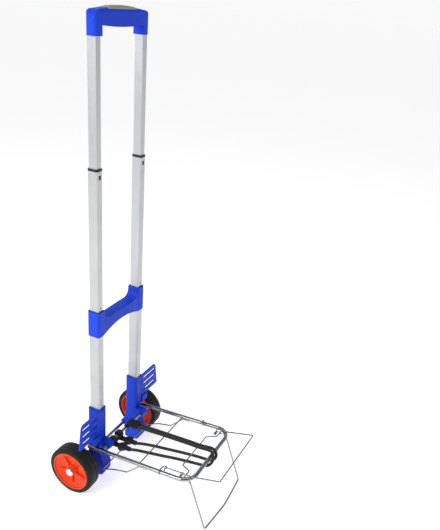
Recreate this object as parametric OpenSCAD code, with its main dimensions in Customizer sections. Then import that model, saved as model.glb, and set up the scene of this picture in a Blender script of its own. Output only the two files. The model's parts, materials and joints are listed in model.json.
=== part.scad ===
// Folding hand truck: two telescoping rails on wheeled brackets, a hinged wire platform
// with a pull-out extension and a drop-down stand, and a push-button grip.
// Millimetres, +Z up, platform towards -Y, origin on the floor under the middle of the truck.

/* [Rails] */
// Distance between the centre lines of the two rails
rail_spacing = 191.6; // [170:0.1:230]
// Width of a lower tube, across the truck
lower_w = 25; // [23:0.5:28]
// Depth of a lower tube, front to back
lower_d = 34; // [31:0.5:38]
// Corner radius of a lower tube
lower_corner = 5; // [3:0.5:6]
// Wall of every rail tube
tube_wall = 1.2; // [1:0.1:1.6]
// Gap on each side between nested tubes, across the truck
nest_gap_w = 0.5; // [0.4:0.1:0.8]
// Gap on each side between nested tubes, front to back
nest_gap_d = 1; // [0.9:0.1:1.4]
// Height of the bottom ends of the lower tubes
lower_base_z = 45; // [40:1:60]
// Length of a middle tube
mid_length = 470; // [430:1:480]
// Length of a top tube
top_length = 395; // [360:1:410]
// Stroke of the middle stage
mid_stroke = 392.5; // [330:0.5:395]
// Stroke of the top stage
top_stroke = 306.5; // [250:0.5:310]
// Height of the collar on top of a middle tube
collar_h = 6; // [4:0.5:9]

/* [Brackets] */
// Height of the underside of a bracket's foot
bracket_base_z = 21; // [15:1:30]
// Height of the top of a bracket
bracket_top_z = 259; // [240:1:290]
// Width of a bracket's sleeve
bracket_w = 35; // [33:0.5:40]
// Depth of a bracket's sleeve
bracket_d = 40; // [38:0.5:46]
// Reach of the foot in front of the rail's centre
foot_reach = 36; // [30:0.5:40]
// Reach of the slotted plate from the truck's middle
plate_reach = 203; // [190:1:215]
// Height of the lower edge of the slotted plate
plate_base_z = 178; // [170:1:185]
// Thickness of the slotted plate
plate_t = 4; // [3:0.5:6]

/* [Crossbar] */
// Height of the underside of the crossbar's sockets
crossbar_z = 505; // [480:1:520]
// Height of a crossbar socket
crossbar_h = 76; // [60:1:85]
// Wall of a crossbar socket
crossbar_wall = 2.3; // [2:0.1:3.5]
// Depth of the valley between the sockets
valley_depth = 30; // [20:1:36]
// Rise of the arch under the front of the crossbar
arch_rise = 16; // [8:1:20]

/* [Wheels] */
// Diameter of a wheel
wheel_d = 150; // [130:1:170]
// Width of a tyre
tyre_w = 48; // [40:1:52]
// Distance from the truck's middle to the outer face of a tyre
wheel_out_x = 196; // [190:1:205]
// Distance of the axle behind the rails' centre
axle_y = 26; // [25:0.5:32]
// Diameter of the axle
axle_d = 10; // [8:0.5:12]

/* [Platform] */
// Distance of the hinge in front of the rails' centre
hinge_ahead = 38; // [36:0.5:44]
// Height of the hinge
hinge_z = 134; // [125:1:145]
// Upward tilt of the open platform
deck_tilt = 5; // [2:0.5:7]
// Length of the platform from hinge to front bar
deck_length = 302; // [270:1:330]
// Distance between the centre lines of the two side tubes
deck_width = 251.6; // [244:0.1:270]
// Length of the side tubes behind the hinge
deck_tail = 46; // [30:1:48]
// Diameter of the platform tube
deck_tube_d = 12; // [10:0.5:13]
// Radius of the platform's front corners
deck_corner = 40; // [30:1:50]
// Diameter of the hinge rod
hinge_d = 10; // [8:0.5:11]
// Diameter of the platform's cross wires
wire_d = 4; // [3:0.5:5]
// Half the spread of the extension's arms
extension_half_w = 111; // [108:0.5:113]
// Distance the extension stands out ahead of the front bar
extension_reach = 84; // [60:1:90]
// Distance of the stand's pivot from the hinge
stand_pivot_s = 262; // [255:1:266]
// Diameter of the stand's wire
stand_d = 5; // [4:0.5:6]
// Diameter of the elastic cord
cord_d = 9; // [7:0.5:10]

/* [Handle] */
// Width of a handle leg
leg_w = 25; // [24:0.5:28]
// Depth of the handle
handle_d = 31; // [30:0.5:34]
// Height of the handle from leg end to crown
handle_h = 62; // [56:1:70]
// Height of the grip bar at its middle
grip_h = 43; // [38:1:46]
// Length of the release button
button_l = 114; // [90:1:120]
// Width of the release button
button_w = 26; // [20:1:27]
// Radius along the top edges of the grip
grip_round = 11; // [6:1:14]
// Travel of the release button
button_travel = 4; // [3:0.5:4]

/* [Fits] */
// Clearance of a seated part
seat_gap = 0.1; // [0.05:0.05:0.2]
// Clearance on each side of a part that slides
slide_gap = 0.15; // [0.1:0.05:0.3]
// Radial clearance of a shaft that turns
turn_gap = 0.05; // [0.02:0.01:0.1]

/* [Hidden] */
$fn = 48;
thin = 0.01;
rail_x = rail_spacing / 2;
mid_w = lower_w - 2 * (tube_wall + nest_gap_w);
mid_d = lower_d - 2 * (tube_wall + nest_gap_d);
mid_corner = lower_corner - tube_wall - nest_gap_w;
top_w = mid_w - 2 * (tube_wall + nest_gap_w);
top_d = mid_d - 2 * (tube_wall + nest_gap_d);
top_corner = mid_corner - tube_wall - nest_gap_w;
crossbar_top_z = crossbar_z + crossbar_h;
crossbar_lip = 5;
lower_top_z = crossbar_top_z - crossbar_lip;
lower_length = lower_top_z - lower_base_z;
rest_gap = 0.3;
collar_z = crossbar_top_z + rest_gap + mid_stroke;
mid_base_z = collar_z - mid_length;
handle_z = collar_z + collar_h + rest_gap + top_stroke;
handle_socket = 38;
top_base_z = handle_z + handle_socket - top_length;
crown_z = handle_z + handle_h;

window_w = 9;
window_h = 11;
window_drop = 10;
window_z = collar_z - window_drop - window_h / 2;
pin_d = 6;
pin_l = 12;
pin_proud = 0.7;
pin_travel = 3.5;
mid_pin_z = mid_base_z + 26;
shoe_h = 38;
shoe_flange = 4;
collar_insert = 24;
bush_h = 24;

bracket_in_x = rail_x - bracket_w / 2;
bracket_out_x = rail_x + bracket_w / 2;
boss_r = axle_d / 2 + 5.5;
ear_r = hinge_d / 2 + 8;
ear_w = 20;
slot_h = 8;
slot_pitch = 23;
slot_rows = 3;

axle_z = wheel_d / 2;
wheel_in_x = wheel_out_x - tyre_w;
wheel_x = (wheel_in_x + wheel_out_x) / 2;
rim_r = wheel_d / 2 - 14;
bush_r = axle_d / 2 + 3;
boss_gap = 0.8;
cap_r = 12.5;
cap_h = 9;
axle_end_x = wheel_out_x - 3;

hinge_y = -hinge_ahead;
deck_x = deck_width / 2;
deck_r = deck_tube_d / 2;
wire_r = wire_d / 2;
stand_r = stand_d / 2;
cord_r = cord_d / 2;
arm_h = deck_r + wire_r + rest_gap;
arm_back_s = deck_length - 97;
arm_eye_s = arm_back_s + 9;
arm_front_s = deck_length + extension_reach;
arm_front_h = 25;
stand_half_w = 113;
stand_pivot_h = -4;
stand_knee_s = deck_length - 8;
stand_knee_h = -deck_r - stand_r - 3;
stand_ground_y = -388;
cross_wire_s = 132;
step_mid_s = 247;
step_end_s = 276;
wire_end_x = deck_x - deck_r;

rear_y = axle_y + wheel_d / 2;
front_y = hinge_y - arm_front_s * cos(deck_tilt) + arm_front_h * sin(deck_tilt) - wire_r;
origin_y = -(rear_y + front_y) / 2;

// Elastic cord's route on the deck: [across, forward of the hinge, above the deck's plane]
cord_route = [
    [-70, 53, -13], [-70, 64, -13], [-68, 84, -10], [-64, 120, -8], [-57, 165, -8], [-49, 210, -8],
    [-42, 255, -9], [-36, 284, -11.5], [-32, 300, -12.5], [-27, 308, -11], [-20, 314, -4],
    [-12, 314, 4], [-4, 308, 11], [3, 300, 12.5], [6, 286, 11.5], [8, 258, 8], [9, 210, 8],
    [9, 165, 8], [9, 120, 8], [8, 80, 8], [8, 50, 8], [8, 31, 8], [10, 26, 8], [14, 24, 8],
    [18, 26, 8], [20, 31, 8], [20, 50, 8], [20, 80, 8], [20, 120, 8], [20, 165, 8], [20, 210, 8],
    [19, 258, 8], [18, 286, 11.5], [16, 300, 12.5], [12, 308, 11], [8, 314, 4], [3, 314, -4],
    [-2, 308, -11], [-5, 300, -12.5], [-8, 284, -11.5], [-12, 255, -9], [-18, 210, -8],
    [-24, 165, -8], [-30, 120, -8], [-35, 84, -10], [-38, 64, -13], [-38, 53, -13]
];
hook_left_x = -70;
hook_right_x = -38;
anchor_x = 14;
anchor_w = 26;

// ---- shared shapes -------------------------------------------------------------------

function unit(v) = v / norm(v);

// Outline of a rectangle with round corners
function round_rect(w, d, r, n = 5) = [
    for (q = [0:3], i = [0:n])
        let (a = 90 * (q + i / n), cx = (q == 0 || q == 3) ? 1 : -1, cy = q < 2 ? 1 : -1)
            [cx * (w / 2 - r) + r * cos(a), cy * (d / 2 - r) + r * sin(a)]
];

// Points of an arc from angle a0 to a1
function arc(cx, cy, r, a0, a1, n = 8) = [
    for (i = [0:n]) let (a = a0 + (a1 - a0) * i / n) [cx + r * cos(a), cy + r * sin(a)]
];

// Corner radius inside a tube of the given outer corner
function inner_corner(r) = max(r - tube_wall, 0.4);

module on_rail(side) {
    translate([side * rail_x, 0, 0]) children();
}

module bar(w, d, r, z0, z1) {
    translate([0, 0, z0]) linear_extrude(z1 - z0) polygon(round_rect(w, d, r));
}

module rect_tube(w, d, r, z0, z1) {
    difference() {
        bar(w, d, r, z0, z1);
        bar(w - 2 * tube_wall, d - 2 * tube_wall, inner_corner(r), z0 - 1, z1 + 1);
    }
}

// Cylinder along X from x0 to x1
module x_rod(r, x0, x1) {
    translate([x0, 0, 0]) rotate([0, 90, 0]) cylinder(h = x1 - x0, r = r);
}

// Cylinder along Y from y0 to y1
module y_rod(r, y0, y1) {
    translate([0, y1, 0]) rotate([90, 0, 0]) cylinder(h = y1 - y0, r = r);
}

module at_axle() {
    translate([0, axle_y, axle_z]) children();
}

// Deck frame: -Y runs forward along the deck, +Z stands up from it, hinge at the origin.
module on_deck() {
    translate([0, hinge_y, hinge_z]) rotate([-deck_tilt, 0, 0]) children();
}

// Deck coordinates (forward, up) of a point in the truck's own frame
function deck_point(x, y, z) = let (f = hinge_y - y, u = z - hinge_z) [
    x, f * cos(deck_tilt) + u * sin(deck_tilt), u * cos(deck_tilt) - f * sin(deck_tilt)
];

// Path with its corners rounded to a bend radius
function bent(path, bend, n = 4) = [
    for (i = [0:len(path) - 1])
        if (i == 0 || i == len(path) - 1) path[i]
        else let (
            a = unit(path[i] - path[i - 1]),
            b = unit(path[i + 1] - path[i]),
            turn = acos(max(-1, min(1, a * b))),
            cut = bend * tan(turn / 2),
            side = unit(cross(cross(a, b), a)),
            start = path[i] - cut * a
        )
            for (k = [0:n]) let (t = turn * k / n)
                start + bend * (sin(t) * a + (1 - cos(t)) * side)
];

// Rings of a round wire along a path, carried along without twist
function normals(path) = [
    for (i = 0,
         t = unit(path[1] - path[0]),
         n = unit(cross(t, abs(t.z) < 0.9 ? [0, 0, 1] : [1, 0, 0]));
         i < len(path);
         i = i + 1,
         t = i < len(path) ? unit(path[min(i + 1, len(path) - 1)] - path[i - 1]) : t,
         n = unit(n - (n * t) * t))
        [n, cross(t, n)]
];

module swept(path, r, sides = 10) {
    count = len(path);
    frames = normals(path);
    points = [
        for (i = [0:count - 1], k = [0:sides - 1]) let (a = 360 * k / sides)
            path[i] + r * (cos(a) * frames[i][0] + sin(a) * frames[i][1])
    ];
    skin = [
        for (i = [0:count - 2], k = [0:sides - 1]) let (
            a = i * sides + k,
            b = i * sides + (k + 1) % sides
        ) each [[a, a + sides, b + sides], [a, b + sides, b]]
    ];
    ends = [
        [for (k = [0:sides - 1]) k],
        [for (k = [sides - 1:-1:0]) (count - 1) * sides + k]
    ];
    polyhedron(points, concat(skin, ends));
}

// Deck path points are [across, forward, up]
function deck_path(points) = [for (p = points) [p[0], -p[1], p[2]]];

module deck_wire(points, bend, r, sides = 10) {
    swept(bent(deck_path(points), bend), r, sides);
}

// ---- frame ---------------------------------------------------------------------------

// Side outline of the foot as [y, z]
function foot_outline() = concat(
    [[bracket_d / 2, bracket_base_z], [bracket_d / 2, hinge_z]],
    [[-bracket_d / 2, hinge_z], [-bracket_d / 2, hinge_z - 22]],
    arc(-foot_reach + 14, bracket_base_z + 44, 14, 150, 180, 3),
    arc(-foot_reach + 20, bracket_base_z + 22, 20, 180, 250, 6),
    [[-bracket_d / 2 + 8, bracket_base_z]]
);

// Front outline of the slotted plate as [x, z]
function plate_outline() = concat(
    [[bracket_out_x - 2, plate_base_z], [plate_reach - 4, plate_base_z]],
    arc(plate_reach - 4, plate_base_z + 4, 4, -90, 0, 4),
    arc(plate_reach - 22, bracket_top_z - 12, 12, 10, 90, 6),
    [[bracket_out_x - 2, bracket_top_z]]
);

function capsule(l, h, n = 6) = concat(
    arc(l / 2 - h / 2, 0, h / 2, -90, 90, n),
    arc(-l / 2 + h / 2, 0, h / 2, 90, 270, n)
);

module plate() {
    slot_x0 = bracket_out_x + 7;
    slot_x1 = plate_reach - 13;
    translate([0, -bracket_d / 2 + plate_t, 0]) rotate([90, 0, 0]) linear_extrude(plate_t)
        difference() {
            polygon(plate_outline());
            for (i = [0:slot_rows - 1])
                translate([(slot_x0 + slot_x1) / 2, plate_base_z + 17.5 + i * slot_pitch])
                    polygon(capsule(slot_x1 - slot_x0, slot_h));
        }
}

module plate_ribs() {
    for (i = [0:slot_rows - 2])
        translate([bracket_out_x - 1, -bracket_d / 2 + plate_t - thin, plate_base_z + 28 + i * slot_pitch])
            cube([plate_reach - bracket_out_x - 14, 2.5, 2]);
}

module bracket() {
    color([0.03, 0.16, 0.8])
    difference() {
        union() {
            translate([rail_x, 0, 0]) bar(bracket_w, bracket_d, 5, hinge_z - 10, bracket_top_z);
            translate([bracket_in_x, 0, 0]) rotate([90, 0, 90]) linear_extrude(bracket_w)
                polygon(foot_outline());
            plate();
            plate_ribs();
            // clip beside the folded side tube
            translate([bracket_out_x - 2, -24, 153]) cube([28, 18, 24]);
            // hinge ear
            translate([bracket_in_x, hinge_y, hinge_z]) x_rod(ear_r, 1, 1 + ear_w);
            translate([bracket_in_x + 1, hinge_y, hinge_z - ear_r])
                cube([ear_w, hinge_ahead - bracket_d / 2 + 2, 2 * ear_r]);
            // axle boss
            at_axle() x_rod(boss_r, bracket_in_x, wheel_in_x - 3);
        }
        translate([rail_x, 0, 0])
            bar(lower_w + 2 * seat_gap, lower_d + 2 * seat_gap, lower_corner, lower_base_z, bracket_top_z + 1);
        translate([bracket_in_x - 1, hinge_y, hinge_z]) x_rod(hinge_d / 2 + turn_gap, 0, ear_w + 3);
        at_axle() x_rod(axle_d / 2 + turn_gap, bracket_in_x - 1, wheel_in_x);
        for (side = [-1, 1])
            translate([rail_x + side * 9 - 1.25, bracket_d / 2 - 1.2, bracket_base_z + 20])
                cube([2.5, 3, 36 - boss_r + 6]);
        for (side = [-1, 1])
            translate([rail_x + side * 9 - 1.25, bracket_d / 2 - 1.2, axle_z + boss_r + 3])
                cube([2.5, 3, 84]);
    }
}

module base_bracket_left() mirror([1, 0, 0]) bracket();
module base_bracket_right() bracket();

module lower_tube(side) {
    color([0.8, 0.81, 0.83]) on_rail(side)
        rect_tube(lower_w, lower_d, lower_corner, lower_base_z, lower_top_z);
}

module tube_rivets() {
    places = [[bracket_d / 2, bracket_top_z - 44], [lower_d / 2 + seat_gap + crossbar_wall, crossbar_z + 18]];
    color([0.7, 0.7, 0.72]) for (side = [-1, 1], p = places)
        on_rail(side) translate([0, p[0], p[1]]) rotate([-90, 0, 0]) cylinder(h = 1.2, r1 = 3.5, r2 = 2.4);
}

// Front outline of the web between the sockets as [x, z]
function web_outline(rise) = let (
    in_x = rail_x - lower_w / 2 - crossbar_wall,
    radius = min(22, valley_depth - 4),
    arch_r = (in_x * in_x + rise * rise) / (2 * rise),
    arch_a = asin(in_x / arch_r)
) concat(
    [[in_x + 3, crossbar_z], [in_x + 3, crossbar_top_z], [in_x, crossbar_top_z]],
    arc(in_x - radius, crossbar_top_z - valley_depth + radius, radius, 0, -90, 8),
    arc(-in_x + radius, crossbar_top_z - valley_depth + radius, radius, -90, -180, 8),
    [[-in_x, crossbar_top_z], [-in_x - 3, crossbar_top_z], [-in_x - 3, crossbar_z]],
    arc(0, crossbar_z + rise - arch_r, arch_r, 90 + arch_a, 90 - arch_a, 16)
);

module web_slab(rise, y0, y1) {
    translate([0, y1, 0]) rotate([90, 0, 0]) linear_extrude(y1 - y0) polygon(web_outline(rise));
}

module crossbar() {
    half_d = lower_d / 2 + seat_gap + crossbar_wall;
    web_in_x = rail_x - lower_w / 2 - crossbar_wall - 3;
    color([0.03, 0.16, 0.8])
    difference() {
        union() {
            for (side = [-1, 1]) on_rail(side)
                bar(lower_w + 2 * (seat_gap + crossbar_wall), 2 * half_d, lower_corner + 1.5,
                    crossbar_z, crossbar_top_z);
            web_slab(arch_rise, -half_d + 1.5, 0);
            web_slab(3, 0, half_d - 1.5);
        }
        for (side = [-1, 1]) on_rail(side) {
            bar(lower_w + 2 * seat_gap, lower_d + 2 * seat_gap, lower_corner,
                crossbar_z - 1, lower_top_z + seat_gap);
            bar(mid_w + 1.2, mid_d + 1.2, mid_corner, lower_top_z, crossbar_top_z + 1);
        }
        translate([-web_in_x, -half_d + 4.5, crossbar_z - 1])
            cube([2 * web_in_x, 2 * half_d - 9, crossbar_h - valley_depth - 2.5]);
    }
}

module guide_bush(side) {
    color([0.12, 0.12, 0.13]) on_rail(side) difference() {
        bar(lower_w - 2 * (tube_wall + thin), lower_d - 2 * (tube_wall + thin),
            inner_corner(lower_corner), lower_top_z - bush_h, lower_top_z - 0.5);
        bar(mid_w + 2 * slide_gap, mid_d + 2 * slide_gap, mid_corner,
            lower_top_z - bush_h - 1, lower_top_z + 1);
    }
}

// ---- axle and wheels -----------------------------------------------------------------

module axle() {
    color([0.75, 0.76, 0.78]) at_axle() x_rod(axle_d / 2, -axle_end_x, axle_end_x);
}

module axle_cap(side) {
    inner_x = wheel_out_x - 6;
    color([0.82, 0.83, 0.85]) mirror([side < 0 ? 1 : 0, 0, 0]) at_axle() difference() {
        translate([inner_x, 0, 0]) rotate([0, 90, 0]) rotate_extrude()
            polygon(concat([[0, 0], [cap_r, 0]], arc(cap_r - 3, cap_h - 3, 3, 0, 90, 4), [[0, cap_h]]));
        x_rod(axle_d / 2 + thin, inner_x - 1, axle_end_x + 0.2);
    }
}

module axle_washers() {
    color([0.7, 0.71, 0.73]) for (side = [-1, 1]) mirror([side < 0 ? 1 : 0, 0, 0]) at_axle() difference() {
        x_rod(9, wheel_in_x - 3, wheel_in_x - 1.2);
        x_rod(axle_d / 2 + turn_gap, wheel_in_x - 4, wheel_in_x);
    }
}

module on_wheel(side) {
    mirror([side < 0 ? 1 : 0, 0, 0]) translate([wheel_x, axle_y, axle_z]) rotate([0, 90, 0]) children();
}

module tyre(side) {
    half = tyre_w / 2;
    color([0.11, 0.11, 0.11]) on_wheel(side) rotate_extrude($fn = 96) polygon(concat(
        [[rim_r, -half + 3], [rim_r + 3, -half]],
        arc(wheel_d / 2 - 8, -half + 8, 8, -70, 0, 5),
        arc(wheel_d / 2 - 8, half - 8, 8, 0, 70, 5),
        [[rim_r + 3, half], [rim_r, half - 3]]
    ));
}

module hub(side) {
    half = tyre_w / 2;
    dish = 16;
    spoke_count = 5;
    color([0.95, 0.29, 0.08]) on_wheel(side) difference() {
        union() {
            rotate_extrude($fn = 96) polygon([
                [bush_r + thin, -half + 2], [17, -half + 2], [17, -half + 8], [40, -4], [rim_r - 3, -4],
                [rim_r - 3, -half + 4], [rim_r - thin, -half + 4], [rim_r - thin, half - 2],
                [rim_r - 3, half - 2], [rim_r - 4, half - 6], [40, half - dish], [18, half - dish],
                [15, half - 8], [bush_r + thin, half - 8]
            ]);
            for (i = [0:spoke_count - 1]) rotate([0, 0, i * 360 / spoke_count])
                translate([14, -1.5, half - dish - 1]) cube([rim_r - 17, 3, 7]);
        }
        translate([0, 0, -half]) cylinder(h = tyre_w, r = bush_r + thin);
    }
}

module wheel_bush(side) {
    half = tyre_w / 2;
    color([0.2, 0.2, 0.21]) on_wheel(side) difference() {
        translate([0, 0, -half]) cylinder(h = tyre_w - 8, r = bush_r);
        translate([0, 0, -half - 1]) cylinder(h = tyre_w + 2, r = axle_d / 2 + turn_gap);
    }
}

// ---- platform ------------------------------------------------------------------------

// Solid rod along the platform tube's centre line, in the deck frame
module tube_line(r, over = 0) {
    straight = deck_length - deck_corner;
    for (side = [-1, 1]) {
        translate([side * deck_x, 0, 0]) y_rod(r, -straight, deck_tail + over);
        translate([side * (deck_x - deck_corner), -straight, 0]) rotate([0, 0, side > 0 ? -90 : 180])
            rotate_extrude(angle = 90) translate([deck_corner, 0]) circle(r);
    }
    translate([0, -deck_length, 0]) x_rod(r, -deck_x + deck_corner, deck_x - deck_corner);
}

module platform_tube() {
    color([0.86, 0.87, 0.88]) on_deck() difference() {
        tube_line(deck_r);
        tube_line(deck_r - 1.2, 1);
    }
}

module tube_end_plugs() {
    color([0.1, 0.1, 0.1]) on_deck() for (side = [-1, 1]) translate([side * deck_x, 0, 0]) {
        y_rod(deck_r, deck_tail, deck_tail + 2);
        y_rod(deck_r - 1.2 - thin, deck_tail - 8, deck_tail + thin);
    }
}

module platform_hinge_rod() {
    color([0.8, 0.81, 0.83]) on_deck() x_rod(hinge_d / 2, -wire_end_x, wire_end_x);
}

module platform_cross_wire() {
    color([0.8, 0.81, 0.83]) on_deck() translate([0, -cross_wire_s, 0]) x_rod(wire_r, -wire_end_x, wire_end_x);
}

// Distance of the platform tube's inner side from the middle, at a given reach from the hinge
function inner_side_x(s) = let (turn = max(0, s - deck_length + deck_corner))
    deck_x - deck_corner + sqrt(pow(deck_corner - deck_r, 2) - pow(turn, 2));

module platform_stepped_wire() {
    end_x = inner_side_x(step_end_s + wire_r);
    half = [[72, step_mid_s], [86, step_end_s], [end_x, step_end_s]];
    color([0.8, 0.81, 0.83]) on_deck() deck_wire(concat(
        [for (i = [2:-1:0]) [-half[i][0], half[i][1], 0]],
        [for (p = half) [p[0], p[1], 0]]
    ), 5, wire_r);
}

// One wire under the side tubes; its cross part stops against the front of both feet
module platform_brace() {
    stop = deck_point(deck_x, -foot_reach - wire_r - rest_gap, bracket_base_z + 40);
    half = [
        [deck_x - 4, stop[1], stop[2]], [deck_x - 2, 40, -56], [deck_x - 2, 86, -48],
        [deck_x, cross_wire_s, -deck_r - wire_r - 1], [deck_x, cross_wire_s + 26, -deck_r - wire_r]
    ];
    color([0.8, 0.81, 0.83]) on_deck() deck_wire(concat(
        [for (i = [len(half) - 1:-1:0]) [-half[i][0], half[i][1], half[i][2]]],
        half
    ), 5, wire_r);
}

module eye(r_in, r_out, width) {
    difference() {
        translate([0, 0, -width / 2]) cylinder(h = width, r = r_out);
        translate([0, 0, -width]) cylinder(h = 2 * width, r = r_in);
    }
}

module extension_eyes() {
    reach = deck_x - extension_half_w;
    slope = atan2(arm_h, reach);
    ring_in = wire_r + slide_gap;
    ring_out = wire_r + 2.6;
    color([0.8, 0.81, 0.83]) on_deck() for (side = [-1, 1]) mirror([side < 0 ? 1 : 0, 0, 0])
        translate([extension_half_w, -arm_eye_s, arm_h]) {
            rotate([90, 0, 0]) eye(ring_in, ring_out, 5);
            rotate([0, slope, 0])
                x_rod(1.5, ring_out - 0.3, norm([reach, arm_h]) - deck_r + 0.04);
        }
}

module stand_eyes() {
    eye_x = stand_half_w - 12;
    ring_in = stand_r + slide_gap;
    ring_out = stand_r + 2.8;
    stub_h = 5;
    color([0.8, 0.81, 0.83]) on_deck() for (side = [-1, 1]) mirror([side < 0 ? 1 : 0, 0, 0])
        translate([0, -stand_pivot_s, stand_pivot_h]) {
            translate([eye_x, 0, 0]) rotate([0, 90, 0]) eye(ring_in, ring_out, 4);
            translate([0, 0, stub_h]) x_rod(1.3, eye_x - 2, inner_side_x(stand_pivot_s + 1.3));
            translate([eye_x - 2, -2, ring_out - 1.5]) cube([4, 4, stub_h - ring_out + 1.5]);
        }
}

module extension_wire() {
    hook_r = deck_r + wire_r + rest_gap;
    hook = [
        for (a = [-15:15:90]) [deck_x + hook_r * cos(a), arm_back_s, hook_r * sin(a)]
    ];
    half = concat(
        hook,
        bent([
            [deck_x, arm_back_s, arm_h], [extension_half_w, arm_back_s, arm_h],
            [extension_half_w, deck_length, arm_h],
            [extension_half_w, arm_front_s, arm_front_h],
            [0, arm_front_s, arm_front_h]
        ], 4, 3)
    );
    half_path = [for (i = [0:len(half) - 1]) if (i != len(hook)) half[i]];
    count = len(half_path);
    whole = concat(
        [for (i = [0:count - 2]) [-half_path[i][0], half_path[i][1], half_path[i][2]]],
        [for (i = [count - 2:-1:0]) half_path[i]]
    );
    color([0.8, 0.81, 0.83]) on_deck() swept(deck_path(whole), wire_r);
}

module stand_wire() {
    ground = deck_point(0, stand_ground_y, stand_r);
    bow = deck_point(0, stand_ground_y - 8, stand_r);
    half = [
        [stand_half_w - 17, stand_pivot_s, stand_pivot_h], [stand_half_w, stand_pivot_s, stand_pivot_h],
        [stand_half_w, stand_knee_s, stand_knee_h], [stand_half_w, ground[1], ground[2]],
        [12, bow[1], bow[2]]
    ];
    color([0.8, 0.81, 0.83]) on_deck() deck_wire(concat(
        [for (p = half) [-p[0], p[1], p[2]]],
        [for (i = [len(half) - 1:-1:0]) half[i]]
    ), 5, stand_r);
}

// ---- elastic cord --------------------------------------------------------------------

module bungee_cord() {
    color([0.08, 0.08, 0.08]) on_deck() swept(deck_path(cord_route), cord_r, 10);
}

// Flat hook under the deck's plane: it curls over the hinge rod and hangs down behind it
module cord_hook(hook_x) {
    throat_r = hinge_d / 2 + 0.1;
    hook_t = 12;
    web = 8;
    tip_r = 7;
    tip_drop = 22;
    plate_h = 9;
    plate_top = -8;
    eye_s = 35;
    eye_r = 15;
    eye_hole = [7, 15];
    socket_r = cord_r + 2.5;
    socket_h = 13;
    color([0.1, 0.1, 0.1]) on_deck() translate([hook_x, 0, 0]) difference() {
        union() {
            rotate([0, 90, 0]) translate([0, 0, -hook_t / 2]) {
                rotate([0, 0, 90]) rotate_extrude(angle = 240)
                    translate([throat_r, 0]) square([web, hook_t]);
                translate([0, throat_r, 0]) cube([tip_drop, web, hook_t]);
                translate([tip_drop, throat_r + web / 2, 0]) cylinder(h = hook_t, r = tip_r);
            }
            translate([-hook_t / 2, -52, plate_top - plate_h]) cube([hook_t, 49, plate_h]);
            translate([0, -eye_s, plate_top - plate_h]) cylinder(h = plate_h, r = eye_r);
            translate([0, 0, -socket_h]) y_rod(socket_r, -62, -47);
        }
        translate([-eye_hole[0] / 2, -eye_s - eye_hole[1] / 2, plate_top - plate_h - 1])
            cube([eye_hole[0], eye_hole[1], plate_h + 2]);
        translate([0, 0, -socket_h]) y_rod(cord_r + thin, -70, -52);
    }
}

// Clip on the hinge rod that holds down the cord's return bend
module cord_anchor() {
    channel_w = 12 + cord_d + 0.2;
    color([0.1, 0.1, 0.1]) on_deck() translate([anchor_x - anchor_w / 2, 0, 0]) difference() {
        union() {
            x_rod(hinge_d / 2 + 4, 0, anchor_w);
            translate([0, -40, 3.4]) cube([anchor_w, 40, 12]);
        }
        translate([-1, 0, 0]) x_rod(hinge_d / 2 + 0.02, 0, anchor_w + 2);
        translate([-1, -60, -30]) cube([anchor_w + 2, 60 - hinge_d / 2 - 4, 33.4]);
        translate([(anchor_w - channel_w) / 2, -60, 3]) cube([channel_w, 60 - 19.4, 9.6]);
    }
}

// ---- middle stage --------------------------------------------------------------------

module front_window(depth, z) {
    translate([-window_w / 2, -depth / 2 - 1, z - window_h / 2]) cube([window_w, depth / 2, window_h]);
}

module mid_tube(side) {
    hole_z = mid_base_z + crossbar_top_z - mid_base_z + 12;
    color([0.8, 0.81, 0.83]) on_rail(side) difference() {
        rect_tube(mid_w, mid_d, mid_corner, mid_base_z, collar_z);
        front_window(mid_d, window_z);
        translate([0, 0, hole_z]) y_rod(2.2, -mid_d, 0);
        translate([0, 0, mid_pin_z]) y_rod(pin_d / 2 + turn_gap, -mid_d, 0);
    }
}

// Collar on top of the tube with an insert that guides the top tube and backs the window
module mid_collar(side) {
    inner_w = mid_w - 2 * tube_wall - 2 * thin;
    inner_d = mid_d - 2 * tube_wall - 2 * thin;
    color([0.08, 0.08, 0.08]) on_rail(side) difference() {
        union() {
            bar(mid_w + 1.2, mid_d + 1.2, mid_corner + 0.6, collar_z, collar_z + collar_h);
            bar(inner_w, inner_d, inner_corner(mid_corner), collar_z - collar_insert, collar_z + thin);
            translate([-window_w / 2 + seat_gap, -mid_d / 2 + seat_gap, window_z - window_h / 2 + seat_gap])
                cube([window_w - 2 * seat_gap, tube_wall + seat_gap, window_h - 2 * seat_gap]);
        }
        bar(top_w + 2 * slide_gap, top_d + 2 * slide_gap, top_corner,
            collar_z - collar_insert - 1, collar_z + collar_h + 1);
        translate([-pin_d / 2 - 0.5, -top_d / 2 - pin_proud - 0.15, collar_z - collar_insert - 1])
            cube([pin_d + 1, pin_proud + 1, collar_insert - window_drop + 3]);
    }
}

// Plug in a tube's lower end: guides it in the next tube and carries the lock pin
module shoe(outer_w, outer_d, outer_corner, w, d, corner, z, pin_z) {
    difference() {
        union() {
            bar(outer_w - 2 * (tube_wall + slide_gap), outer_d - 2 * (tube_wall + slide_gap),
                inner_corner(outer_corner), z - shoe_flange, z);
            bar(w - 2 * (tube_wall + thin), d - 2 * (tube_wall + thin), inner_corner(corner), z - thin, z + shoe_h);
        }
        translate([0, 0, pin_z]) y_rod(pin_d / 2 + turn_gap, -d, -d / 2 + pin_l + pin_travel + 1);
        translate([0, d / 2 - tube_wall - 5, z - shoe_flange - 1]) cylinder(h = shoe_h + shoe_flange + 2, r = 2.2);
    }
}

module mid_shoe(side) {
    color([0.15, 0.15, 0.16]) on_rail(side)
        shoe(lower_w, lower_d, lower_corner, mid_w, mid_d, mid_corner, mid_base_z, mid_pin_z);
}

module lock_pins(d, z) {
    color([0.6, 0.61, 0.63]) for (side = [-1, 1]) on_rail(side) translate([0, 0, z])
        y_rod(pin_d / 2, -d / 2 - pin_proud, -d / 2 - pin_proud + pin_l);
}

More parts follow.
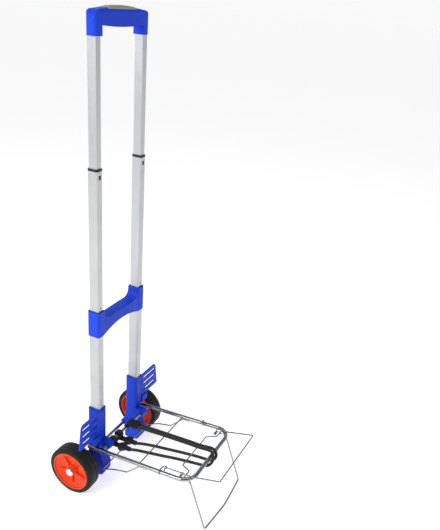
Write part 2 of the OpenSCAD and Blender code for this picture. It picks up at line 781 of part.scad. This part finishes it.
module mid_lock_pins() lock_pins(mid_d, mid_pin_z);

// ---- top stage -----------------------------------------------------------------------

module top_tube(side) {
    color([0.82, 0.83, 0.85]) on_rail(side) difference() {
        rect_tube(top_w, top_d, top_corner, top_base_z, handle_z + handle_socket);
        translate([0, 0, window_z]) y_rod(pin_d / 2 + turn_gap, -top_d, 0);
    }
}

module top_shoe(side) {
    color([0.15, 0.15, 0.16]) on_rail(side)
        shoe(mid_w, mid_d, mid_corner, top_w, top_d, top_corner, top_base_z, window_z);
}

module top_lock_pins() lock_pins(top_d, window_z);

// Front outline of the handle as [x, z]
function handle_outline() = let (
    out_x = rail_x + leg_w / 2,
    in_x = rail_x - leg_w / 2,
    shoulder_z = crown_z - 5,
    bow = 4,
    under_r = (in_x * in_x + bow * bow) / (2 * bow),
    under_a = asin(in_x / under_r)
) concat(
    [[out_x, handle_z]],
    arc(out_x - 20, shoulder_z - 20, 20, 0, 80, 8),
    [[button_l / 2, crown_z - 1], [-button_l / 2, crown_z - 1]],
    arc(-out_x + 20, shoulder_z - 20, 20, 100, 180, 8),
    [[-out_x, handle_z], [-in_x, handle_z]],
    arc(0, crown_z - grip_h + under_r, under_r, -90 - under_a, -90 + under_a, 12),
    [[in_x, handle_z]]
);

module handle_screw_places() {
    for (side = [-1, 1]) translate([side * 62, 0, crown_z - grip_h + 11]) children();
}

// Side outline of the handle as [y, z], with a round top
function handle_side() = concat(
    [[handle_d / 2, handle_z - 1]],
    arc(handle_d / 2 - grip_round, crown_z - grip_round, grip_round, 0, 90, 10),
    arc(-handle_d / 2 + grip_round, crown_z - grip_round, grip_round, 90, 180, 10),
    [[-handle_d / 2, handle_z - 1]]
);

module handle_block() {
    out_x = rail_x + leg_w / 2;
    intersection() {
        translate([0, handle_d / 2, 0]) rotate([90, 0, 0]) linear_extrude(handle_d) polygon(handle_outline());
        translate([-out_x - 1, 0, 0]) rotate([90, 0, 90]) linear_extrude(2 * out_x + 2) polygon(handle_side());
        translate([0, 0, handle_z - 2]) linear_extrude(handle_h + 4)
            polygon(round_rect(2 * out_x, handle_d, 9, 8));
    }
}

module handle_body() {
    wall = 2.5;
    cavity_z = crown_z - grip_h + 6;
    difference() {
        handle_block();
        // hollow of the grip, between the legs
        difference() {
            translate([-rail_x - 4, -handle_d / 2 + wall, cavity_z])
                cube([2 * rail_x + 8, handle_d - 2 * wall, crown_z - 13 - cavity_z]);
            handle_screw_places() y_rod(4, -handle_d, handle_d);
        }
        // mouth for the button
        translate([-button_l / 2 - 0.3, -button_w / 2 - 0.3, crown_z - 14])
            cube([button_l + 0.6, button_w + 0.6, 24]);
        // sockets for the top tubes
        for (side = [-1, 1]) on_rail(side)
            bar(top_w + 2 * seat_gap, top_d + 2 * seat_gap, top_corner, handle_z - 1, handle_z + handle_socket + thin);
        for (side = [-1, 1]) on_rail(side)
            translate([-5, -2, handle_z + handle_socket - 1]) cube([10, 12.4, 12]);
        handle_screw_places() {
            y_rod(1.5 + turn_gap, -handle_d / 2 + 4, handle_d);
            y_rod(3.3, handle_d / 2 - 2.2, handle_d);
        }
    }
}

module handle_half(y0, y1) {
    color([0.04, 0.2, 0.9]) intersection() {
        handle_body();
        translate([-200, y0, handle_z - 5]) cube([400, y1 - y0, handle_h + 20]);
    }
}

module handle_front_shell() handle_half(-40, 0);
module handle_rear_shell() handle_half(0, 40);

module handle_screws() {
    color([0.35, 0.35, 0.37]) handle_screw_places() {
        y_rod(1.5, -handle_d / 2 + 5, handle_d / 2 - 2);
        y_rod(3, handle_d / 2 - 2.1, handle_d / 2 - 0.3);
    }
}

yoke_z = handle_z + handle_socket + button_travel + 1;
yoke_t = 4;
rod_y = top_d / 2 - tube_wall - 5;

module release_button() {
    half = button_l / 2;
    edge_z = crown_z - 1;
    rise = 5;
    base_r = (half * half + rise * rise) / (2 * rise);
    base_a = asin(half / base_r);
    top_z = edge_z + rise;
    side_r = 7;
    base_z = crown_z - 8;
    color([0.55, 0.54, 0.5]) union() {
        intersection() {
            translate([0, button_w / 2, 0]) rotate([90, 0, 0]) linear_extrude(button_w) polygon(concat(
                [[half, base_z]],
                arc(0, top_z - base_r, base_r, 90 - base_a, 90 + base_a, 16),
                [[-half, base_z]]
            ));
            translate([-half - 1, 0, 0]) rotate([90, 0, 90]) linear_extrude(2 * half + 2) polygon(concat(
                [[button_w / 2, base_z - 1]],
                arc(button_w / 2 - side_r, top_z - side_r, side_r, 0, 90, 8),
                arc(-button_w / 2 + side_r, top_z - side_r, side_r, 90, 180, 8),
                [[-button_w / 2, base_z - 1]]
            ));
        }
        for (x = [-40, 40]) translate([x - 5, -4, yoke_z + yoke_t])
            cube([10, 12, base_z - yoke_z - yoke_t + thin]);
    }
}

module release_yoke() {
    color([0.3, 0.3, 0.32]) translate([-rail_x - 3, rod_y - 4, yoke_z]) cube([2 * rail_x + 6, 8, yoke_t]);
}

module release_rods() {
    color([0.6, 0.61, 0.63]) for (side = [-1, 1]) on_rail(side)
        translate([0, rod_y, top_base_z + 6]) cylinder(h = yoke_z - top_base_z - 6, r = 1.8);
}

module button_springs() {
    floor_z = crown_z - grip_h + 6;
    color([0.6, 0.6, 0.62]) for (x = [-25, 25]) translate([x, rod_y, floor_z]) difference() {
        cylinder(h = yoke_z - floor_z, r = 4);
        translate([0, 0, -1]) cylinder(h = yoke_z - floor_z + 2, r = 3.2);
    }
}

// ---- placing -------------------------------------------------------------------------

module place() {
    translate([0, origin_y, 0]) children();
}

place() base_bracket_left();
place() base_bracket_right();
place() lower_tube(-1);  // lower_tube_left
place() lower_tube(1);  // lower_tube_right
place() crossbar();
place() guide_bush(-1);  // guide_bush_left
place() guide_bush(1);  // guide_bush_right
place() tube_rivets();
place() axle();
place() axle_cap(-1);  // axle_cap_left
place() axle_cap(1);  // axle_cap_right
place() axle_washers();
place() tyre(-1);  // tyre_left
place() tyre(1);  // tyre_right
place() hub(-1);  // hub_left
place() hub(1);  // hub_right
place() wheel_bush(-1);  // wheel_bush_left
place() wheel_bush(1);  // wheel_bush_right
place() platform_tube();
place() platform_hinge_rod();
place() platform_cross_wire();
place() platform_stepped_wire();
place() platform_brace();
place() stand_eyes();
place() extension_eyes();
place() tube_end_plugs();
place() extension_wire();
place() stand_wire();
place() bungee_cord();
place() cord_hook(hook_left_x);  // cord_hook_left
place() cord_hook(hook_right_x);  // cord_hook_right
place() cord_anchor();
place() mid_tube(-1);  // mid_tube_left
place() mid_tube(1);  // mid_tube_right
place() mid_collar(-1);  // mid_collar_left
place() mid_collar(1);  // mid_collar_right
place() mid_shoe(-1);  // mid_shoe_left
place() mid_shoe(1);  // mid_shoe_right
place() mid_lock_pins();
place() top_tube(-1);  // top_tube_left
place() top_tube(1);  // top_tube_right
place() top_shoe(-1);  // top_shoe_left
place() top_shoe(1);  // top_shoe_right
place() top_lock_pins();
place() handle_front_shell();
place() handle_rear_shell();
place() handle_screws();
place() release_button();
place() release_yoke();
place() release_rods();
place() button_springs();
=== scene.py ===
"""Looks of the folding hand truck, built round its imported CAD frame. Metres, +Z up, platform towards -Y."""

import json
import math

import bpy
from mathutils import Matrix, Vector


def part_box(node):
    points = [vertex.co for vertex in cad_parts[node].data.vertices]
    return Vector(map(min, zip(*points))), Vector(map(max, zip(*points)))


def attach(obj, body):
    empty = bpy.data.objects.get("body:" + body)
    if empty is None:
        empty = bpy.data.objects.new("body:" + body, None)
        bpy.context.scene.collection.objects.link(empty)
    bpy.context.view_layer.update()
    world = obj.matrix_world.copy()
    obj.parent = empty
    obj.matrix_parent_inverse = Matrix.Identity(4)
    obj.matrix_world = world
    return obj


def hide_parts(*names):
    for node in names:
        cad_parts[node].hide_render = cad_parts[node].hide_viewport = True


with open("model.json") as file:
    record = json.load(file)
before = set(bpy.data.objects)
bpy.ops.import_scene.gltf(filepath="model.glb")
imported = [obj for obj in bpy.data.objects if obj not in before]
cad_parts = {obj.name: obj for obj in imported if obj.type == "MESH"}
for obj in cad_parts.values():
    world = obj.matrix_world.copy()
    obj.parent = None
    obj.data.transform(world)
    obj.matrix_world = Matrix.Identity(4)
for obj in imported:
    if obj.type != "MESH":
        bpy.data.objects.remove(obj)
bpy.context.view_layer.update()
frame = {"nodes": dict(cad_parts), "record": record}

NODES = frame["nodes"]


# ---- materials -----------------------------------------------------------------------

class Graph:
    """A material's node tree, with short calls for the nodes used here."""

    def __init__(self, name):
        self.material = bpy.data.materials.new(name)
        self.material.use_nodes = True
        self.tree = self.material.node_tree
        self.shader = self.tree.nodes["Principled BSDF"]
        self.coords = self.node("ShaderNodeTexCoord")

    def node(self, kind, **settings):
        made = self.tree.nodes.new(kind)
        for key, value in settings.items():
            setattr(made, key, value)
        return made

    def link(self, source, target):
        self.tree.links.new(source, target)

    def mapped(self, scale):
        mapping = self.node("ShaderNodeMapping")
        mapping.inputs["Scale"].default_value = scale
        self.link(self.coords.outputs["Object"], mapping.inputs["Vector"])
        return mapping.outputs["Vector"]

    def noise(self, scale, detail=4.0, stretch=(1, 1, 1), distortion=0.0):
        made = self.node("ShaderNodeTexNoise")
        made.inputs["Scale"].default_value = scale
        made.inputs["Detail"].default_value = detail
        made.inputs["Distortion"].default_value = distortion
        self.link(self.mapped(stretch), made.inputs["Vector"])
        return made.outputs["Fac"]

    def span(self, source, low, high, start=0.3, end=0.7):
        made = self.node("ShaderNodeMapRange")
        made.inputs["From Min"].default_value = start
        made.inputs["From Max"].default_value = end
        made.inputs["To Min"].default_value = low
        made.inputs["To Max"].default_value = high
        self.link(source, made.inputs["Value"])
        return made.outputs["Result"]

    def mixed(self, factor, a, b):
        made = self.node("ShaderNodeMix", data_type="RGBA")
        self.link(factor, made.inputs[0])
        for socket, colour in ((6, a), (7, b)):
            if isinstance(colour, tuple):
                made.inputs[socket].default_value = (*colour, 1.0)
            else:
                self.link(colour, made.inputs[socket])
        return made.outputs[2]

    def edge_wear(self, start=0.52, end=0.62):
        geometry = self.node("ShaderNodeNewGeometry")
        return self.span(geometry.outputs["Pointiness"], 0.0, 1.0, start, end)

    def bump(self, height, strength, distance, normal=None):
        made = self.node("ShaderNodeBump")
        made.inputs["Strength"].default_value = strength
        made.inputs["Distance"].default_value = distance
        self.link(height, made.inputs["Height"])
        if normal is not None:
            self.link(normal, made.inputs["Normal"])
        return made.outputs["Normal"]

    def rounded(self, radius):
        made = self.node("ShaderNodeBevel", samples=6)
        made.inputs["Radius"].default_value = radius
        return made.outputs["Normal"]

    def finish(self, colour, roughness, normal, **constants):
        self.link(colour, self.shader.inputs["Base Color"])
        self.link(roughness, self.shader.inputs["Roughness"])
        self.link(normal, self.shader.inputs["Normal"])
        for key, value in constants.items():
            self.shader.inputs[key.replace("_", " ")].default_value = value
        return self.material


def darker(colour, factor):
    return tuple(c * factor for c in colour)


def moulded(name, colour, roughness, radius=0.0012, grain=0.12, specular=0.4):
    """Moulded plastic: fine grain, faint flow marks, rubbed edges."""
    g = Graph(name)
    flow = g.span(g.noise(14, 5, distortion=0.6), 0.0, 1.0, 0.35, 0.65)
    base = g.mixed(flow, darker(colour, 0.9), colour)
    rubbed = tuple(min(1.0, c * 1.25 + 0.012) for c in colour)
    base = g.mixed(g.edge_wear(), base, rubbed)
    rough = g.span(g.noise(60, 6), roughness * 0.8, roughness * 1.25)
    normal = g.bump(g.noise(2600, 2), grain, 0.0001, g.rounded(radius))
    normal = g.bump(g.noise(35, 2), 0.08, 0.0006, normal)
    return g.finish(base, rough, normal, Specular_IOR_Level=specular)


def drawn_metal(name, colour, roughness, stretch, radius=0.0006):
    """Satin aluminium with die lines along the tube and a few handling marks."""
    g = Graph(name)
    lines = g.noise(1.0, 4, stretch)
    base = g.mixed(g.span(lines, 0.0, 1.0, 0.3, 0.7), darker(colour, 0.93), colour)
    smudge = g.noise(16, 5, distortion=0.8)
    base = g.mixed(g.span(smudge, 0.0, 0.35, 0.5, 0.75), base, darker(colour, 0.86))
    rough = g.span(smudge, roughness * 0.85, roughness * 1.2)
    normal = g.bump(lines, 0.10, 0.00015, g.rounded(radius))
    return g.finish(base, rough, normal, Metallic=1.0)


def plated(name, colour, roughness, radius=0.0004):
    """Bright plated steel with a slight orange-peel and darker blooms."""
    g = Graph(name)
    bloom = g.noise(40, 5, distortion=0.5)
    base = g.mixed(g.span(bloom, 0.0, 1.0, 0.35, 0.75), colour, darker(colour, 0.8))
    rough = g.span(g.noise(90, 4), roughness * 0.7, roughness * 1.5)
    normal = g.bump(g.noise(420, 3), 0.12, 0.0002, g.rounded(radius))
    return g.finish(base, rough, normal, Metallic=1.0)


def rubber(name, colour, roughness):
    """Tyre rubber: dusty, matt, with a fine skin texture."""
    g = Graph(name)
    dust = g.noise(28, 8, distortion=0.4)
    base = g.mixed(g.span(dust, 0.0, 1.0, 0.45, 0.75), colour, tuple(c * 1.6 + 0.003 for c in colour))
    rough = g.span(dust, roughness, min(1.0, roughness * 1.15))
    normal = g.bump(g.noise(900, 5), 0.3, 0.0003)
    return g.finish(base, rough, normal)


def braided(name, colour, roughness):
    """Woven sheath of an elastic cord: thread noise over the modelled braid."""
    g = Graph(name)
    threads = g.noise(1400, 3)
    lit_thread = tuple(c * 1.9 + 0.004 for c in colour)
    base = g.mixed(g.span(threads, 0.0, 1.0, 0.35, 0.65), darker(colour, 0.6), lit_thread)
    rough = g.span(threads, roughness, min(1.0, roughness * 1.2))
    normal = g.bump(threads, 0.45, 0.0003)
    return g.finish(base, rough, normal, Sheen_Weight=0.25, Sheen_Roughness=0.5)


BLUE = moulded("blue_plastic", (0.0, 0.04, 0.56), 0.42, 0.0022, specular=0.16)
ORANGE = moulded("orange_plastic", (0.88, 0.055, 0.004), 0.36, 0.001, specular=0.3)
BLACK = moulded("black_plastic", (0.004, 0.004, 0.004), 0.4, 0.001, 0.3, 0.3)
GREY = moulded("grey_plastic", (0.27, 0.255, 0.225), 0.5, 0.0015, 0.3)
RAIL = drawn_metal("rail_aluminium", (0.54, 0.55, 0.57), 0.36, (900, 900, 6))
STEEL = plated("plated_steel", (0.36, 0.37, 0.385), 0.12)
CAP = plated("cap_silver", (0.8, 0.81, 0.83), 0.22, 0.0008)
INNER = plated("inner_steel", (0.55, 0.56, 0.58), 0.35)
TYRE = rubber("tyre_rubber", (0.003, 0.003, 0.003), 0.6)
CORD = braided("elastic_cord", (0.010, 0.010, 0.011), 0.7)

BY_SLOT = {
    "blue_plastic": BLUE, "orange_plastic": ORANGE, "black_plastic": BLACK, "grey_plastic": GREY,
    "rail_aluminium": RAIL, "plated_steel": STEEL, "cap_silver": CAP, "inner_steel": INNER,
    "tyre_rubber": TYRE, "elastic_cord": CORD,
}

for subpart in frame["record"]["subparts"]:
    node = NODES[subpart["node"]]
    for index in range(len(node.data.materials)):
        node.data.materials[index] = BY_SLOT[subpart["material_slot"]]


# ---- helpers for new meshes ----------------------------------------------------------

def mesh_piece(name, vertices, faces, material, smooth=True):
    mesh = bpy.data.meshes.new(name)
    mesh.from_pydata([tuple(v) for v in vertices], [], faces)
    mesh.materials.append(material)
    mesh.validate()
    piece = bpy.data.objects.new(name, mesh)
    bpy.context.scene.collection.objects.link(piece)
    if smooth:
        mesh.shade_smooth()
    return piece


def smooth_by_angle(piece, degrees):
    mesh = piece.data
    mesh.shade_smooth()
    mesh.set_sharp_from_angle(angle=math.radians(degrees))


def turned(profile_at, count, centre, axis_sign):
    """Rings of a body turned about X: profile_at(i) gives (radius, across) pairs for step i."""
    vertices, faces = [], []
    rings = [profile_at(i) for i in range(count)]
    size = len(rings[0])
    for i, ring in enumerate(rings):
        angle = 2 * math.pi * i / count
        for radius, across in ring:
            turn = (radius * math.cos(angle), radius * math.sin(angle))
            vertices.append(centre + Vector((axis_sign * across, *turn)))
    for i in range(count):
        n = (i + 1) % count
        for k in range(size):
            m = (k + 1) % size
            faces.append((i * size + k, n * size + k, n * size + m, i * size + m)[::int(-axis_sign)])
    return vertices, faces


# ---- tyres ---------------------------------------------------------------------------

TEETH = 64
STEPS_PER_TOOTH = 6
CUT_STEPS = 2
TYRE_WALL = 0.0139
GROOVE_DEPTH = 0.0016
# how far the gaps between the teeth are cut into the shoulder and into the side
SHOULDER_CUT = 0.0022
SIDE_CUT = 0.0016


def make_tyre(side):
    low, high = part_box("tyre_" + side)
    centre = (Vector(low) + Vector(high)) / 2
    outer = (high[2] - low[2]) / 2
    half = (high[0] - low[0]) / 2
    bead = outer - TYRE_WALL
    groove = outer - GROOVE_DEPTH

    def profile(i):
        cut = 1.0 if i % STEPS_PER_TOOTH < CUT_STEPS else 0.0
        shoulder = SHOULDER_CUT * cut
        side_cut = SIDE_CUT * cut
        return [
            (bead, -half + 0.0034),
            (bead + 0.0030, -half + 0.0006),
            (outer - 0.0080, -half + side_cut),
            (outer - 0.0042 - shoulder, -half + 0.0012 + side_cut),
            (outer - 0.0012 - shoulder, -half + 0.0042),
            (outer - 0.0002 - shoulder * 0.5, -half + 0.0090),
            (outer - 0.0001, -half + 0.0110),
            (outer, -0.0095), (groove, -0.0088), (groove, -0.0072), (outer, -0.0065),
            (outer, 0.0065), (groove, 0.0072), (groove, 0.0088), (outer, 0.0095),
            (outer - 0.0001, half - 0.0110),
            (outer - 0.0002 - shoulder * 0.5, half - 0.0090),
            (outer - 0.0012 - shoulder, half - 0.0042),
            (outer - 0.0042 - shoulder, half - 0.0012 - side_cut),
            (outer - 0.0080, half - side_cut),
            (bead + 0.0030, half - 0.0006),
            (bead, half - 0.0034),
        ]

    vertices, faces = turned(profile, TEETH * STEPS_PER_TOOTH, centre, 1)
    tyre = mesh_piece("tyre_tread_" + side, vertices, faces, TYRE)
    smooth_by_angle(tyre, 32)
    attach(tyre, "wheel_" + side)
    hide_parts("tyre_" + side)


make_tyre("left")
make_tyre("right")


# ---- elastic cord --------------------------------------------------------------------

# The same route as the CAD cord: across, forward of the hinge, above the deck's plane, in mm.
CORD_ROUTE = [
    (-70, 53, -13), (-70, 64, -13), (-68, 84, -10), (-64, 120, -8), (-57, 165, -8), (-49, 210, -8),
    (-42, 255, -9), (-36, 284, -11.5), (-32, 300, -12.5), (-27, 308, -11), (-20, 314, -4),
    (-12, 314, 4), (-4, 308, 11), (3, 300, 12.5), (6, 286, 11.5), (8, 258, 8), (9, 210, 8),
    (9, 165, 8), (9, 120, 8), (8, 80, 8), (8, 50, 8), (8, 31, 8), (10, 26, 8), (14, 24, 8),
    (18, 26, 8), (20, 31, 8), (20, 50, 8), (20, 80, 8), (20, 120, 8), (20, 165, 8), (20, 210, 8),
    (19, 258, 8), (18, 286, 11.5), (16, 300, 12.5), (12, 308, 11), (8, 314, 4), (3, 314, -4),
    (-2, 308, -11), (-5, 300, -12.5), (-8, 284, -11.5), (-12, 255, -9), (-18, 210, -8),
    (-24, 165, -8), (-30, 120, -8), (-35, 84, -10), (-38, 64, -13), (-38, 53, -13),
]
DECK_TILT = math.radians(5.0)
CORD_RADIUS = 0.0045
hinge_low, hinge_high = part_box("platform_hinge_rod")
HINGE = (Vector(hinge_low) + Vector(hinge_high)) / 2


def on_deck(across, forward, up):
    """Point of the deck frame, in mm, as a place in the scene."""
    c, s = math.cos(DECK_TILT), math.sin(DECK_TILT)
    return HINGE + Vector((across, -forward * c + up * s, forward * s + up * c)) / 1000


def smooth_route(points, step):
    """Catmull-Rom curve through the points, resampled every step metres, with its length."""
    fine = []
    for i in range(len(points) - 1):
        a, b = points[max(i - 1, 0)], points[i]
        c, d = points[i + 1], points[min(i + 2, len(points) - 1)]
        for k in range(16):
            t = k / 16
            fine.append(0.5 * (2 * b + (c - a) * t + (2 * a - 5 * b + 4 * c - d) * t * t
                               + (3 * b - a - 3 * c + d) * t * t * t))
    fine.append(points[-1])
    out, want, run = [fine[0]], step, 0.0
    for a, b in zip(fine, fine[1:]):
        length = (b - a).length
        while length > 0 and run + length >= want:
            out.append(a.lerp(b, (want - run) / length))
            want += step
        run += length
    return out, run


def make_cord():
    step = 0.0011
    sides = 20
    path, length = smooth_route([on_deck(*p) for p in CORD_ROUTE], step)
    vertices, faces = [], []
    normal = Vector((0, 0, 1))
    for i, point in enumerate(path):
        tangent = (path[min(i + 1, len(path) - 1)] - path[max(i - 1, 0)]).normalized()
        normal = (normal - tangent * normal.dot(tangent)).normalized()
        other = tangent.cross(normal)
        for k in range(sides):
            angle = 2 * math.pi * k / sides
            weave = abs(math.sin(5 * angle + i * 0.75)) * abs(math.sin(5 * angle - i * 0.75))
            radius = CORD_RADIUS - 0.00035 + 0.00045 * weave
            vertices.append(point + radius * (math.cos(angle) * normal + math.sin(angle) * other))
    for i in range(len(path) - 1):
        for k in range(sides):
            m = (k + 1) % sides
            faces.append((i * sides + k, i * sides + m, (i + 1) * sides + m, (i + 1) * sides + k))
    faces.append(tuple(range(sides))[::-1])
    faces.append(tuple((len(path) - 1) * sides + k for k in range(sides)))
    cord = mesh_piece("elastic_cord", vertices, faces, CORD)
    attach(cord, "platform")
    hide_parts("bungee_cord")
    print("elastic cord length", round(length, 4))


make_cord()


# ---- floor, light and camera ---------------------------------------------------------

def make_floor():
    size = 60.0
    cells = 8
    row = cells + 1
    vertices = [(size * (2 * c / cells - 1), size * (2 * r / cells - 1), 0.0)
                for r in range(row) for c in range(row)]
    faces = [(r * row + c, r * row + c + 1, (r + 1) * row + c + 1, (r + 1) * row + c)
             for r in range(cells) for c in range(cells)]
    g = Graph("studio_floor")
    tint = g.mixed(g.span(g.noise(2.0, 3), 0.0, 1.0), (0.86, 0.865, 0.87), (0.88, 0.88, 0.88))
    rough = g.span(g.noise(30, 3), 0.85, 0.95)
    material = g.finish(tint, rough, g.bump(g.noise(200, 2), 0.02, 0.0005), Emission_Strength=0.62)
    g.shader.inputs["Emission Color"].default_value = (1, 1, 1, 1)
    floor = mesh_piece("studio_floor", vertices, faces, material, smooth=False)


def area_light(name, place, target, size, energy, colour=(1, 1, 1)):
    light = bpy.data.lights.new(name, "AREA")
    light.shape = "SQUARE"
    light.size = size
    light.energy = energy
    light.color = colour
    holder = bpy.data.objects.new(name, light)
    holder.location = place
    holder.rotation_euler = (Vector(target) - Vector(place)).to_track_quat("-Z", "Y").to_euler()
    bpy.context.scene.collection.objects.link(holder)


def make_world():
    """A pale room: bright round the horizon behind and to the left, dimmer overhead and in front."""
    world = bpy.data.worlds.new("studio")
    world.use_nodes = True
    tree = world.node_tree
    background = tree.nodes["Background"]
    coords = tree.nodes.new("ShaderNodeTexCoord")

    def along(direction, low, high, start, end):
        dot = tree.nodes.new("ShaderNodeVectorMath")
        dot.operation = "DOT_PRODUCT"
        dot.inputs[1].default_value = direction
        span = tree.nodes.new("ShaderNodeMapRange")
        span.inputs["From Min"].default_value = start
        span.inputs["From Max"].default_value = end
        span.inputs["To Min"].default_value = low
        span.inputs["To Max"].default_value = high
        tree.links.new(coords.outputs["Generated"], dot.inputs[0])
        tree.links.new(dot.outputs["Value"], span.inputs["Value"])
        return span.outputs["Result"]

    sides = along((0.25, 0.97, 0.0), 0.35, 1.0, -0.6, 0.1)
    height = along((0.0, 0.0, 1.0), 1.0, 0.35, 0.1, 0.7)
    both = tree.nodes.new("ShaderNodeMath")
    both.operation = "MULTIPLY"
    tree.links.new(sides, both.inputs[0])
    tree.links.new(height, both.inputs[1])
    tree.links.new(both.outputs["Value"], background.inputs["Color"])
    background.inputs["Strength"].default_value = 0.95
    bpy.context.scene.world = world


# The photograph's camera: where it stands round the truck, how it is turned, and its lens
CAMERA_AZIMUTH = math.radians(-64.98)
CAMERA_ELEVATION = math.radians(24.06)
CAMERA_ROLL = math.radians(4.73)
CAMERA_DISTANCE = 1.5304
SENSOR_WIDTH = 36.0
FOCAL_PIXELS = 603.72
PICTURE_HEIGHT = 530
# the rails stand this far behind the middle of the truck's box
RAIL_SETBACK = 0.16068


def make_camera():
    azimuth, elevation, roll = CAMERA_AZIMUTH, CAMERA_ELEVATION, CAMERA_ROLL
    flat = math.cos(elevation)
    back = Vector((math.sin(azimuth) * flat, -math.cos(azimuth) * flat, math.sin(elevation)))
    level = (-back).cross(Vector((0, 0, 1))).normalized()
    up = level.cross(-back)
    right = math.cos(roll) * level + math.sin(roll) * up
    top = -math.sin(roll) * level + math.cos(roll) * up
    target = Vector((0.0, -0.31573 + RAIL_SETBACK, 0.76852))
    data = bpy.data.cameras.new("camera")
    data.sensor_width = SENSOR_WIDTH
    data.lens = FOCAL_PIXELS / PICTURE_HEIGHT * SENSOR_WIDTH
    camera = bpy.data.objects.new("camera", data)
    rotation = Matrix((right, top, back)).transposed().to_4x4()
    camera.matrix_world = Matrix.Translation(target + back * CAMERA_DISTANCE) @ rotation
    bpy.context.scene.collection.objects.link(camera)
    bpy.context.scene.camera = camera


make_floor()
make_world()
area_light("key", (-2.6, 0.9, 2.2), (0, 0, 0.6), 1.6, 52)
area_light("fill", (-1.0, -2.8, 1.6), (0, 0, 0.4), 2.5, 5)
area_light("top", (0.2, -0.3, 3.4), (0, 0, 0), 2.4, 20)
make_camera()

bpy.context.scene.view_settings.view_transform = "Standard"
